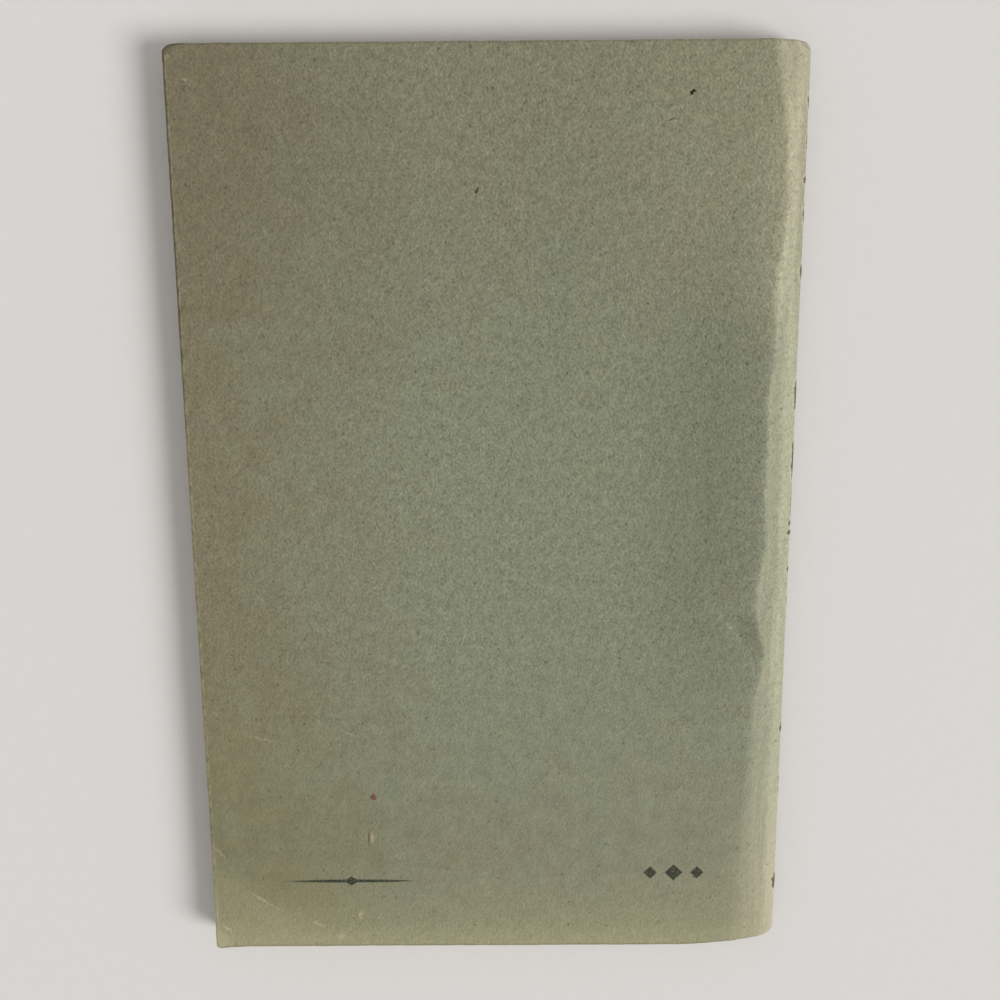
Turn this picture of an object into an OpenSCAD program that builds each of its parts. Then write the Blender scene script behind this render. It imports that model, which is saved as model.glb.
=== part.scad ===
// Thin pocket booklet: a side-stitched block of pages in a drawn-on paper cover.
// It lies on its front cover, with the back cover up, the spine at +X and the head at +Y.
// Origin: middle of the underside. Units: millimetres.

/* [Format] */
// Width from the fore-edge to the spine
book_w = 102; // [75:1:150]
// Height from the tail to the head
book_h = 156; // [110:1:230]
// Thickness of the closed booklet, covers included
book_t = 5; // [4.2:0.1:9]

/* [Cover] */
// Thickness of the cover paper
cover_t = 0.3; // [0.2:0.05:0.5]
// Glue line, or air, between the cover and the pages
cover_gap = 0.05; // [0.02:0.01:0.15]
// Distance from the spine to the crease that a cover opens on
crease_in = 5; // [4:0.5:9]
// Thickness across the rounded spine, where the stitching pinches the pages
spine_t = 3.4; // [2.6:0.1:4.1]

/* [Worn corners] */
// Radius of the fore-edge corner at the head
head_corner_r = 2; // [0.5:0.1:5]
// Radius of the fore-edge corner at the tail
tail_corner_r = 0.8; // [0.3:0.1:5]
// Radius of the two corners at the ends of the spine
spine_corner_r = 1.7; // [0.5:0.1:2.5]

/* [Wire stitches] */
// Width of the flat stitching wire
wire_w = 0.6; // [0.4:0.05:0.9]
// Thickness of the wire
wire_t = 0.45; // [0.3:0.05:0.6]
// Length of a stitch's crown along the spine
crown_l = 12; // [10:0.5:16]
// Length of each clinched end, from its leg to its tip
clinch_l = 3.5; // [2.5:0.1:4]
// Inside radius of the wire's bends
bend_r = 0.3; // [0.2:0.05:0.5]
// Distance between the middles of the two stitches
stitch_pitch = 78; // [40:1:90]
// Clearance between the wire and the paper round it
wire_gap = 0.05; // [0.02:0.01:0.1]

/* [Hidden] */
$fn = 64;
cut = 1; // how far a cutter runs past the surface it cuts

crease_x = book_w / 2 - crease_in;
nose_r = spine_t / 2;
nose_x = book_w / 2 - nose_r;
nose_bite = 0.002; // how far the sloping sides run into the nose, so that they cross it cleanly

// Slope of the cover between the crease and the rounded spine: the tangent from the crease to the nose.
to_nose = [nose_x - crease_x, book_t / 2];
slope = atan2(to_nose.y, to_nose.x) - asin(nose_r / norm(to_nose));

// Middle height and half thickness of the pages at the stitches, halfway along the pinched strip.
mid_z = book_t / 2;
page_inset = cover_t + cover_gap;
stitch_x = (crease_x + nose_x) / 2;
stitch_half = mid_z - (stitch_x - crease_x) * tan(slope) - page_inset / cos(slope);

// Heights of the wire's outer and inner faces from the middle: it lies just under the pages' slope,
// and its outer height is rounded down so that its bends meet its straights without slivers.
wire_step = 0.01;
wire_room = stitch_half - wire_gap - (wire_w / 2 + wire_gap) * tan(slope);
wire_out = floor(wire_room / wire_step) * wire_step;
wire_in = wire_out - wire_t;
leg_in = crown_l / 2 - wire_t;

// Cross-section of the closed booklet, taken in from the cover's outer face by inset.
// The fore-edge is trimmed flush, so it isn't taken in.
module book_section(inset) {
    bend_x = crease_x - inset * tan(slope / 2);
    half = mid_z - inset;
    r = nose_r - inset;
    tangent = [nose_x, 0] + (r - nose_bite) * [sin(slope), cos(slope)];
    translate([0, mid_z]) {
        polygon([
            [-book_w / 2, -half],
            [bend_x, -half],
            [tangent.x, -tangent.y],
            tangent,
            [bend_x, half],
            [-book_w / 2, half],
        ]);
        translate([nose_x, 0]) circle(r);
    }
}

// What a corner of radius r loses outside its arc, about the arc's centre, on side_x and side_y.
module corner_waste(side_x, side_y, r) {
    difference() {
        mirror([side_x < 0 ? 1 : 0, 0]) mirror([0, side_y < 0 ? 1 : 0]) square(r + cut);
        circle(r);
    }
}

// Rectangle about the origin. Its corners' radii are listed as [[-x -y, -x +y], [+x -y, +x +y]].
module rounded_rect(half_l, half_h, radii) {
    difference() {
        square([2 * half_l, 2 * half_h], center = true);
        for (i = [0, 1], j = [0, 1]) {
            r = radii[i][j];
            side_x = 2 * i - 1;
            side_y = 2 * j - 1;
            translate([side_x * (half_l - r), side_y * (half_h - r)])
                corner_waste(side_x, side_y, r);
        }
    }
}

// Plan of the booklet: the trimmed sheet with its worn corners.
module book_plan() {
    rounded_rect(book_w / 2, book_h / 2, [
        [tail_corner_r, head_corner_r],
        [spine_corner_r, spine_corner_r],
    ]);
}

// Bar of the booklet's cross-section, longer than the booklet.
module section_bar(inset) {
    rotate([90, 0, 0]) linear_extrude(book_h + 2 * cut, center = true) book_section(inset);
}

// The closed booklet as one solid, taken in by inset.
module book_solid(inset) {
    intersection() {
        section_bar(inset);
        translate([0, 0, -cut]) linear_extrude(book_t + 2 * cut) book_plan();
    }
}

// Flat sheet of cover paper from the fore-edge to the crease, with its underside at z.
module cover_panel(z) {
    translate([0, 0, z])
        linear_extrude(cover_t)
            intersection() {
                book_plan();
                translate([-book_w / 2 - cut, -book_h / 2 - cut])
                    square([crease_x + book_w / 2 + cut, book_h + 2 * cut]);
            }
}

// Rectangle about the origin with four equal bends.
module bent_rect(half_l, half_h, r) {
    rounded_rect(half_l, half_h, [[r, r], [r, r]]);
}

// What a stitch grips, seen along X and taken in by gap: the pages inside its bends,
// and those that come up between its clinched ends.
module gripped_pages(gap) {
    between = leg_in - clinch_l - gap;
    bent_rect(leg_in - gap, wire_in - gap, bend_r - gap);
    translate([-between, 0]) square([2 * between, mid_z]);
}

// One stitch, seen along X: the crown below, two legs and their clinched ends above.
module stitch_outline() {
    difference() {
        bent_rect(crown_l / 2, wire_out, bend_r + wire_t);
        gripped_pages(0);
    }
}

// Room for one stitch in the pages, seen along X: slots for the legs, and grooves open to the surface.
module stitch_room() {
    difference() {
        square([crown_l + 2 * wire_gap, 2 * mid_z], center = true);
        gripped_pages(wire_gap);
    }
}

// Puts an outline at both places along the spine, with the given width along X.
module each_stitch(width) {
    for (end = [-1, 1])
        translate([stitch_x, end * stitch_pitch / 2, mid_z])
            rotate([90, 0, 90]) linear_extrude(width, center = true) children();
}

module page_block() {
    color("antiquewhite")
        difference() {
            book_solid(page_inset);
            each_stitch(wire_w + 2 * wire_gap) stitch_room();
        }
}

module spine_wrap() {
    color("darkkhaki")
        intersection() {
            difference() {
                book_solid(0);
                section_bar(cover_t);
            }
            translate([crease_x, -book_h / 2 - cut, -cut])
                cube([crease_in + cut, book_h + 2 * cut, book_t + 2 * cut]);
        }
}

module back_cover() {
    color("darkseagreen") cover_panel(book_t - cover_t);
}

module front_cover() {
    color("darkseagreen") cover_panel(0);
}

module wire_stitches() {
    color("dimgray") each_stitch(wire_w) stitch_outline();
}

page_block();
spine_wrap();
back_cover();
front_cover();
wire_stitches();
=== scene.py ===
"""Looks of a thin pocket booklet that lies on its front cover, with its worn back cover up.

The wrapper is two halves of one creased sheet, and the pages are a stack of trimmed leaves.
Sizes and places are in millimetres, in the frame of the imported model, unless a name says otherwise.
"""

import math

import bpy
import numpy as np
from mathutils import Matrix, Vector


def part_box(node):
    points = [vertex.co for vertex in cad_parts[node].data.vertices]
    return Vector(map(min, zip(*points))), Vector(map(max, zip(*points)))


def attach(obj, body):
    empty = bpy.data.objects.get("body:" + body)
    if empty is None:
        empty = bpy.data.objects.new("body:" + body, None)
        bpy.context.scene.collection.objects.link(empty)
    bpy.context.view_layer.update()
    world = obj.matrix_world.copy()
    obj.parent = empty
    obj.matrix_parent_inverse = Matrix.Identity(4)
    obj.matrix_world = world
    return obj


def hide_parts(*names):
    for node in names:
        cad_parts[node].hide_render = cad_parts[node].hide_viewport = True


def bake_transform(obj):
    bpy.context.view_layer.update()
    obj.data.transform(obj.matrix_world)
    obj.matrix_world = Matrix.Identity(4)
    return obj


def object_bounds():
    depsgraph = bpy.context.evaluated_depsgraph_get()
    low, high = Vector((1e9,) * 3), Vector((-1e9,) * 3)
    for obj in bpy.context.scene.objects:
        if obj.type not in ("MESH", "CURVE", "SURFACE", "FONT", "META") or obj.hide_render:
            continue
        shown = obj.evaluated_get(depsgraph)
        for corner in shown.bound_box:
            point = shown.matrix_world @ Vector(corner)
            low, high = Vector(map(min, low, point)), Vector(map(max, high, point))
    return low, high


MM = 0.001

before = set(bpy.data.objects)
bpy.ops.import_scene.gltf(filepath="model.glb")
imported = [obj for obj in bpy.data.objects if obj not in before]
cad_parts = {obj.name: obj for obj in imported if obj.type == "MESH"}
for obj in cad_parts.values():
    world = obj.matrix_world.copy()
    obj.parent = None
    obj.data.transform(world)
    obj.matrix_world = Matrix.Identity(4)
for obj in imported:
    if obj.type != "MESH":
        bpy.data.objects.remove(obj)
cad_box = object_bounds()


def in_mm(corner):
    """A corner of a box, from metres to millimetres."""
    return np.array(corner) / MM


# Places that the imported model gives
FORE_X, TAIL_Y, BOTTOM_Z = in_mm(cad_box[0])
SPINE_X, HEAD_Y, TOP_Z = in_mm(cad_box[1])
MID_Z = (BOTTOM_Z + TOP_Z) / 2
HALF_T = TOP_Z - MID_Z
panel_low, panel_high = (in_mm(corner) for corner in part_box("back_cover"))
_, page_high = (in_mm(corner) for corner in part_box("page_block"))
wire_low, wire_high = (in_mm(corner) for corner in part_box("wire_stitches"))
CREASE_X = panel_high[0]
PAPER_T = panel_high[2] - panel_low[2]
PAGE_INSET = TOP_Z - page_high[2]
STITCH_X = (wire_low[0] + wire_high[0]) / 2
WIRE_W = wire_high[0] - wire_low[0]
WIRE_OUT = wire_high[2] - MID_Z

# Section and plan of the wrapper. A worn corner is so wide and so high
NOSE_R = 1.7
HEAD_CORNER = (2.3, 1.5)
TAIL_CORNER = (0.8, 0.8)
SPINE_HEAD_CORNER = (1.7, 1.7)
SPINE_TAIL_CORNER = (1.6, 1.6)
CREASE_SOFT = 0.42
TAIL_SOFT = 1.5
TAIL_SOFT_START = -24.0
TAIL_WEAR = 1.3
TAIL_WEAR_START = 35.0
TAIL_WEAR_FADE = 8.0
CREASE_REACH = 4.0
SHARP_ANGLE = math.radians(60.0)

# Distance from the spine to the worn crease at heights up the back cover
BACK_CREASE = (
    (-78.0, 7.0), (-75.0, 5.8), (-65.0, 6.1), (-47.0, 5.5), (-32.0, 5.3), (-27.0, 4.5), (-22.5, 4.1),
    (-14.5, 6.0), (-11.0, 5.8), (-4.0, 4.5), (7.0, 5.0), (14.0, 4.7), (21.0, 5.1), (29.5, 4.3),
    (39.0, 4.5), (53.0, 3.0), (63.0, 3.5), (69.0, 4.2), (75.0, 5.4),
)
FRONT_CREASE = ((TAIL_Y, SPINE_X - CREASE_X), (HEAD_Y, SPINE_X - CREASE_X))
CREASE_EASE = np.linspace(-1.4, 1.4, 7)
CREASE_WANDER = 0.12

# How the back cover stands off the pages
FORE_LIFT = 0.2
FORE_LIFT_REACH = 8.0
FORE_EVEN = 0.65
FORE_UNEVEN = 0.35
RIDGE_H = 0.36
RIDGE_W = 3.4
RIDGE_FADE = 58.0
RIDGE_EVEN = 0.7
RIDGE_UNEVEN = 0.3
WAVE_H = 0.06
DENT_PLACE = (41.9, -18.5)
DENT_TURN = math.radians(-51.0)
DENT_DEPTH = 0.72
DENT_LENGTH = 6.0
DENT_WIDE = 4.8
DENT_STEEP = 0.8
CORNER_FOLD = (-48.8, -74.4)
CORNER_FOLD_TURN = math.radians(-54.0)
CORNER_FOLD_RISE = 0.12
FRAY = 0.1
FRAY_REACH = 1.6

# Worn nicks along the spine: the middle of each, its length, and how dark it is
SPINE_NICKS = (
    (68.9, 2.4, 0.7), (62.7, 3.2, 0.62), (56.9, 1.6, 0.9), (51.7, 4.1, 0.65),
    (42.4, 2.6, 0.9), (22.2, 5.7, 0.85), (11.4, 7.2, 0.8),
    (4.3, 6.9, 0.6), (0.3, 1.2, 0.9), (-1.1, 1.2, 1.1), (-7.6, 1.4, 0.85), (-13.5, 4.0, 0.55),
    (-36.5, 2.3, 0.8), (-47.2, 6.9, 0.55), (-58.9, 8.0, 0.45), (-66.3, 3.4, 1.0),
)
NICK_UP = 0.7
NICK_WIDE = 1.0
NICK_BLUNT = 4
NICK_SWELL = 0.14

# Wavelengths of what wanders, and the seeds
CREASE_WAVES = (23.0, 9.5, 5.1)
RIDGE_WAVES = (47.0, 19.0, 8.0)
FORE_WAVES = (83.0, 37.0, 15.0)
SHEET_WAVES = (61.0, 39.0, 27.0, 18.0)
SAG_WAVES = (130.0, 65.0)
FORE_FRAY_WAVES = (31.0, 7.3, 2.9, 1.7)
HEAD_FRAY_WAVES = (17.0, 6.1, 2.3)
TAIL_FRAY_WAVES = (19.0, 5.3, 2.6)
BACK_CREASE_SEED = 11
FRONT_CREASE_SEED = 12
RIDGE_SEED = 21
FORE_SEED = 22
SHEET_SEED = 23
SAG_SEED = 5
BACK_FRAY_SEEDS = (31, 32, 33)
FRONT_FRAY_SEEDS = (36, 37, 38)
TRIM_SEED = 41

# Grid of a wrapper half. In the pattern, the inner face is a layer out of reach of the outer face's marks
ROW_STEP = 0.8
END_STEP = 0.16
END_REACH = 2.6
PANEL_STEP = 1.6
PANEL_FINE = 0.35
PANEL_FINE_REACH = 3.0
DENT_STEP = 0.6
DENT_START = 34.0
STRIP_CELLS = 30
NOSE_CELLS = 14
INNER_LAYER = 60.0

# Leaves. Their columns are shares of the way up to the stitches' slots, and from the slots on
LEAVES = 56
LEAF_FILL = 0.9
LEAF_TRIM = 0.12
LEAF_WAVE = 0.12
LEAF_BEFORE = np.array([0, 0.004, 0.012, 0.03, 0.3, 0.6, 0.82, 0.87, 0.91, 0.94, 0.96, 0.98])
LEAF_AFTER = np.array([0, 0.35, 0.7, 1])
LEAF_ROW_STEP = 26.0
LEAF_END_STEP = 0.5
LEAF_END_REACH = 2.5
LEAF_DENT_ROWS = np.linspace(-12.0, 12.0, 9)
PAGE_DENT_SPREAD = 2.0
PAGE_DENT_PRESS = 1.15
PAGE_DENT_FADE = 4
GATHERING = 8
GATHERING_STEP = 0.08

# The stitches that the leaves leave room for
STITCH_PITCH = 78.0
CROWN_L = 12.0
CLINCH_L = 3.5
WIRE_T = 0.45
WIRE_GAP = 0.05

# Camera, light and floor
CAMERA_PLACE = Vector((2.12, 39.64, 184.51))
CAMERA_AIM = Vector((1.38, 5.03, 5.0))
CAMERA_ROLL = math.radians(-0.41)
CAMERA_LENS = 39.03
CAMERA_SENSOR = 36.0
CAMERA_NEAR_M = 0.005
FLOOR_GAP = 0.35
FLOOR_HALF = 3000.0
WHITE = (1.0, 1.0, 1.0, 1.0)
WORLD_LEVEL = 0.52
BACKDROP_LEVEL = 0.66
KEY_FROM = Vector((0.73, -0.32, 0.6))
KEY_SPREAD = math.radians(27.0)
KEY_LEVEL = 0.5


def ripples(seed, *wavelengths):
    """A smooth random surface from about -1 to 1, made of one wave of each length in its own direction."""
    random = np.random.default_rng(seed)
    turns = random.uniform(0, math.tau, len(wavelengths))
    phases = random.uniform(0, math.tau, len(wavelengths))

    def height(x, y):
        total = 0
        for wavelength, turn, phase in zip(wavelengths, turns, phases):
            along = x * math.cos(turn) + y * math.sin(turn)
            total = total + np.sin(math.tau * along / wavelength + phase)
        return total / len(wavelengths)

    return height


def wander(seed, *wavelengths):
    """A smooth random line from about -1 to 1, made of one wave of each length."""
    phases = np.random.default_rng(seed).uniform(0, math.tau, len(wavelengths))

    def offset(place):
        waves = [np.sin(math.tau * place / size + phase) for size, phase in zip(wavelengths, phases)]
        return sum(waves) / len(wavelengths)

    return offset


def graded(low, high, coarse, fine, reach):
    """Places from low to high, with fine steps within reach of both ends."""
    ends = np.arange(0, reach, fine)
    cells = round((high - low - 2 * reach) / coarse)
    middle = np.linspace(low + reach, high - reach, cells + 1)
    return np.concatenate([low + ends, middle, (high - ends)[::-1]])


def corner_inset(y, head, tail):
    """How far two rounded corners, each so wide and so high, have drawn an upright edge in, at heights y."""
    inset = 0
    for (width, height), gap in ((head, HEAD_Y - y), (tail, y - TAIL_Y)):
        into = np.clip(1 - gap / height, 0, 1)
        inset = inset + width * (1 - np.sqrt(1 - into * into))
    return inset


def nose_place(y):
    """X of the middle of the rounded spine, at heights y."""
    return SPINE_X - NOSE_R - corner_inset(y, SPINE_HEAD_CORNER, SPINE_TAIL_CORNER)


def nose_slope(run, half, r):
    """Slope of the tangent from a crease to a nose of radius r that is run away and half lower."""
    return np.arctan2(half, run) - np.arcsin(r / np.hypot(run, half))


def crease_line(readings, seed):
    """The worn crease as a function of height: the eased readings, and a slight wander."""
    places, insets = zip(*readings)
    wave = wander(seed, *CREASE_WAVES)

    def crease(y):
        eased = np.mean([np.interp(y + shift, places, insets) for shift in CREASE_EASE], axis=0)
        return SPINE_X - eased + CREASE_WANDER * wave(y)

    return crease


# The sheet's middle, along it: where the two halves of the wrapper meet on the spine
middle_slope = float(nose_slope(SPINE_X - NOSE_R - CREASE_X, HALF_T, NOSE_R))
strip_run = (SPINE_X - NOSE_R - CREASE_X + NOSE_R * math.sin(middle_slope)) / math.cos(middle_slope)
SHEET_END = CREASE_X + strip_run + NOSE_R * (math.pi / 2 - middle_slope)

# Lines and surfaces that wander
back_crease = crease_line(BACK_CREASE, BACK_CREASE_SEED)
front_crease = crease_line(FRONT_CREASE, FRONT_CREASE_SEED)
ridge_wave = wander(RIDGE_SEED, *RIDGE_WAVES)
fore_wave = wander(FORE_SEED, *FORE_WAVES)
sheet_wave = ripples(SHEET_SEED, *SHEET_WAVES)
leaf_sag = ripples(SAG_SEED, *SAG_WAVES)


def crease_soft(y):
    """How soft the bend at the crease is: it is worn rounder towards the tail."""
    low = np.clip((TAIL_SOFT_START - y) / (TAIL_SOFT_START - TAIL_Y), 0, 1)
    return CREASE_SOFT + (TAIL_SOFT - CREASE_SOFT) * low


def soft_ramp(distance, soft):
    """0 before a crease and the distance past it, with the bend eased."""
    return soft * np.logaddexp(0, distance / soft)


def tail_wear(x, y):
    """How far the tail has worn away beside the spine, eased out over the rows above it."""
    worn = TAIL_WEAR * np.clip((x - TAIL_WEAR_START) / (SPINE_X - TAIL_WEAR_START), 0, None)
    return worn * np.clip(1 - (y - TAIL_Y) / TAIL_WEAR_FADE, 0, 1)


def dent(x, y, spread=0.0):
    """Depth of the knock beside the crease: long one way, steep on one side and gentle on the other."""
    dx, dy = x - DENT_PLACE[0], y - DENT_PLACE[1]
    along = dx * math.cos(DENT_TURN) + dy * math.sin(DENT_TURN)
    across = dy * math.cos(DENT_TURN) - dx * math.sin(DENT_TURN)
    wide = np.where(across > 0, DENT_WIDE, DENT_STEEP) + spread
    return DENT_DEPTH * np.exp(-((along / (DENT_LENGTH + spread)) ** 2) - (across / wide) ** 2)


def back_lift(x, y, past_crease):
    """How far the back cover stands off the pages: ridge, dent, fore-edge, folded corner and waves."""
    on_panel = 1 / (1 + np.exp(past_crease / CREASE_SOFT))
    ridge = RIDGE_H * (RIDGE_EVEN + RIDGE_UNEVEN * ridge_wave(y)) * np.exp(-((past_crease / RIDGE_W) ** 2))
    ridge = ridge * np.clip((y - TAIL_Y) / RIDGE_FADE, 0, 1)
    fore = FORE_LIFT * (FORE_EVEN + FORE_UNEVEN * fore_wave(y)) * np.exp(-(x - FORE_X) / FORE_LIFT_REACH)
    waves = WAVE_H * (1 + sheet_wave(x, y)) / 2
    dx, dy = x - CORNER_FOLD[0], y - CORNER_FOLD[1]
    past_fold = dx * math.sin(CORNER_FOLD_TURN) - dy * math.cos(CORNER_FOLD_TURN)
    folded = CORNER_FOLD_RISE * np.clip(past_fold, 0, None)
    return on_panel * (ridge + fore + waves - dent(x, y)) + folded


def no_lift(x, y, past_crease):
    """The front cover lies flat under the booklet."""
    return np.zeros(np.broadcast(x, y).shape)


def slab(top, bottom, kept=None):
    """Points and faces of a closed slab between two grids of points, with walls round what is kept."""
    rows, columns = top.shape[:2]
    if kept is None:
        kept = np.ones((rows - 1, columns - 1), bool)
    count = rows * columns
    index = np.arange(count).reshape(rows, columns)
    cell = np.stack([index[:-1, :-1], index[:-1, 1:], index[1:, 1:], index[1:, :-1]], axis=-1)
    faces = [cell[kept], cell[kept][:, ::-1] + count]
    across = np.pad(kept, ((1, 1), (0, 0)))
    along = np.pad(kept, ((0, 0), (1, 1)))
    for before, after, first, last in (
        (across[:-1], across[1:], index[:, :-1], index[:, 1:]),
        (along[:, 1:], along[:, :-1], index[:-1], index[1:]),
    ):
        wall = np.stack([first + count, last + count, last, first], axis=-1)
        faces.append(wall[after & ~before])
        faces.append(wall[before & ~after][:, ::-1])
    points = np.concatenate([top.reshape(-1, 3), bottom.reshape(-1, 3)])
    return points, np.concatenate(faces)


def mesh_object(name, points, faces, attributes, material):
    """An object of those points, in millimetres, and faces, with attributes on its points."""
    used, faces = np.unique(faces, return_inverse=True)
    mesh = bpy.data.meshes.new(name)
    mesh.from_pydata((points[used] * MM).tolist(), [], faces.reshape(-1, 4).tolist())
    for key, values in attributes.items():
        values = np.asarray(values, np.float32)[used]
        kind, field = ("FLOAT_VECTOR", "vector") if values.ndim == 2 else ("FLOAT", "value")
        mesh.attributes.new(key, kind, "POINT").data.foreach_set(field, values.ravel())
    mesh.shade_smooth()
    mesh.set_sharp_from_angle(angle=SHARP_ANGLE)
    mesh.materials.append(material)
    piece = bpy.data.objects.new(name, mesh)
    bpy.context.scene.collection.objects.link(piece)
    return piece


def panel_shares():
    """Columns of a cover's panel, as shares of the way from the fore-edge to the strip at the crease."""
    panel_end = CREASE_X - CREASE_REACH
    near_fore = FORE_X + np.arange(0, PANEL_FINE_REACH, PANEL_FINE)
    middle = np.arange(FORE_X + PANEL_FINE_REACH, DENT_START, PANEL_STEP)
    near_dent = np.arange(DENT_START, panel_end, DENT_STEP)
    return (np.concatenate([near_fore, middle, near_dent]) - FORE_X) / (panel_end - FORE_X)


def nick_wear(y, spine_gap, side):
    """How worn the spine is at its nicks, which lie a little to the back cover's side of its middle."""
    worn = np.zeros_like(spine_gap)
    for middle, length, dark in SPINE_NICKS:
        across = (side * spine_gap - NICK_UP) / (NICK_WIDE * dark)
        mark = np.exp(-(((y - middle) / (length / 2)) ** NICK_BLUNT) - across * across)
        worn = np.maximum(worn, dark * mark)
    return worn


def end_fray(u, y, head_seed, tail_seed):
    """How far up the frayed tail is drawn in, and how far down the frayed head is."""
    head_fray = wander(head_seed, *HEAD_FRAY_WAVES)
    tail_fray = wander(tail_seed, *TAIL_FRAY_WAVES)
    near_head = np.clip(1 - (HEAD_Y - y) / FRAY_REACH, 0, 1)
    near_tail = np.clip(1 - (y - TAIL_Y) / FRAY_REACH, 0, 1)
    return FRAY / 2 * ((1 + tail_fray(u)) * near_tail - (1 + head_fray(u)) * near_head)


def wrapper_half(name, side, crease, lift, seeds, material):
    """Half of the wrapper, from the fore-edge over the crease to the middle of the spine.
    It is shaped face up; side is 1 for the back cover, and -1 turns it over for the front cover."""
    fore_seed, head_seed, tail_seed = seeds
    y = graded(TAIL_Y, HEAD_Y, ROW_STEP, END_STEP, END_REACH)[:, None]
    crease_x = crease(y)
    fray = wander(fore_seed, *FORE_FRAY_WAVES)
    left = FORE_X + corner_inset(y, HEAD_CORNER, TAIL_CORNER) + FRAY * (1 + fray(y)) / 2
    nose_x = nose_place(y)
    slope = nose_slope(nose_x - crease_x, HALF_T, NOSE_R)

    # Columns: the panel, the strip past the crease, and the rounded nose
    strip_start = crease_x - CREASE_REACH
    panel = panel_shares()
    panel_x = left + (strip_start - left) * panel[None, :]
    touch_x = nose_x + NOSE_R * np.sin(slope)
    strip_x = strip_start + (touch_x - strip_start) * np.linspace(0, 1, STRIP_CELLS + 1)[None, :]
    flat_x = np.hstack([panel_x, strip_x])
    flat_h = HALF_T - np.tan(slope) * soft_ramp(flat_x - crease_x, crease_soft(y))
    flat_h = flat_h + lift(flat_x, y, flat_x - crease_x)
    nose_turn = (math.pi / 2 - slope) * (1 - np.linspace(0, 1, NOSE_CELLS + 1)[None, 1:])
    x = np.hstack([flat_x, nose_x + NOSE_R * np.cos(nose_turn)])
    h = np.hstack([flat_h, NOSE_R * np.sin(nose_turn)])

    # Distance along the sheet: x on the panel, and scaled past it so that both halves meet at SHEET_END
    step = np.hypot(np.diff(x, axis=1), np.diff(h, axis=1))
    run = np.cumsum(step[:, panel.size:], axis=1)
    run = run / run[:, -1:] * (SHEET_END - strip_start)
    u = np.hstack([x[:, :panel.size + 1], strip_start + run])
    spine_gap = SHEET_END - u

    # Wear: swollen nicks along the spine, and a frayed head and tail
    worn = nick_wear(y, spine_gap, side)
    x = x + NICK_SWELL * worn * worn
    y = np.broadcast_to(y, x.shape)
    edge_gap = np.minimum(u - left, np.minimum(HEAD_Y - y, y - TAIL_Y))
    y = y + end_fray(u, y, head_seed, tail_seed) + tail_wear(x, y)

    outer = np.stack([x, y, h], axis=-1)
    facing = np.cross(np.gradient(outer, axis=1), np.gradient(outer, axis=0))
    facing = facing / np.linalg.norm(facing, axis=-1, keepdims=True)
    points, faces = slab(outer, outer - PAPER_T * facing)
    points[:, 2] = MID_Z + side * points[:, 2]
    if side < 0:
        faces = faces[:, ::-1]

    def both(values):
        """The same values on the sheet's outer and inner points."""
        return np.tile(np.broadcast_to(values, u.shape).ravel(), 2)

    inside = np.repeat([0.0, 1.0], u.size)
    along = both(u if side > 0 else 2 * SHEET_END - u)
    attributes = {
        "sheet": np.stack([along, both(y), INNER_LAYER * inside], axis=-1),
        "fore_gap": both(u - FORE_X),
        "crease_run": both(u - crease_x),
        "spine_gap": both(spine_gap),
        "edge_gap": both(edge_gap),
        "worn": both(worn),
        "inside": inside,
    }
    return mesh_object(name, points, faces, attributes, material)


def leaf_rows():
    """Rows of a leaf: closer at its ends and at the dent, and one at each side of every slot."""
    ends = graded(TAIL_Y, HEAD_Y, LEAF_ROW_STEP, LEAF_END_STEP, LEAF_END_REACH)
    rows = [ends, DENT_PLACE[1] + LEAF_DENT_ROWS]
    for middle in (-STITCH_PITCH / 2, STITCH_PITCH / 2):
        for end in (-1, 1):
            leg = middle + end * CROWN_L / 2
            leg_out = leg + end * WIRE_GAP
            leg_in = leg - end * (WIRE_T + WIRE_GAP)
            clinch_end = leg - end * (WIRE_T + CLINCH_L)
            rows.append([leg_out, leg_in, clinch_end])
    return np.sort(np.concatenate(rows))


def slots(y_middles, height, columns, slot_column):
    """Which cells of a leaf are kept, where the stitches are at that height from the middle."""
    kept = np.ones((y_middles.size, columns), bool)
    from_stitch = np.abs(np.abs(y_middles) - STITCH_PITCH / 2)
    in_crown = from_stitch < CROWN_L / 2 + WIRE_GAP
    in_leg = in_crown & (from_stitch > CROWN_L / 2 - WIRE_T - WIRE_GAP)
    in_clinch = in_crown & (from_stitch > CROWN_L / 2 - WIRE_T - CLINCH_L)
    wire_in = WIRE_OUT - WIRE_T - WIRE_GAP
    cut = in_leg
    if height > wire_in:
        cut = in_clinch
    if height < -wire_in:
        cut = in_crown
    kept[cut, slot_column] = False
    return kept


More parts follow.
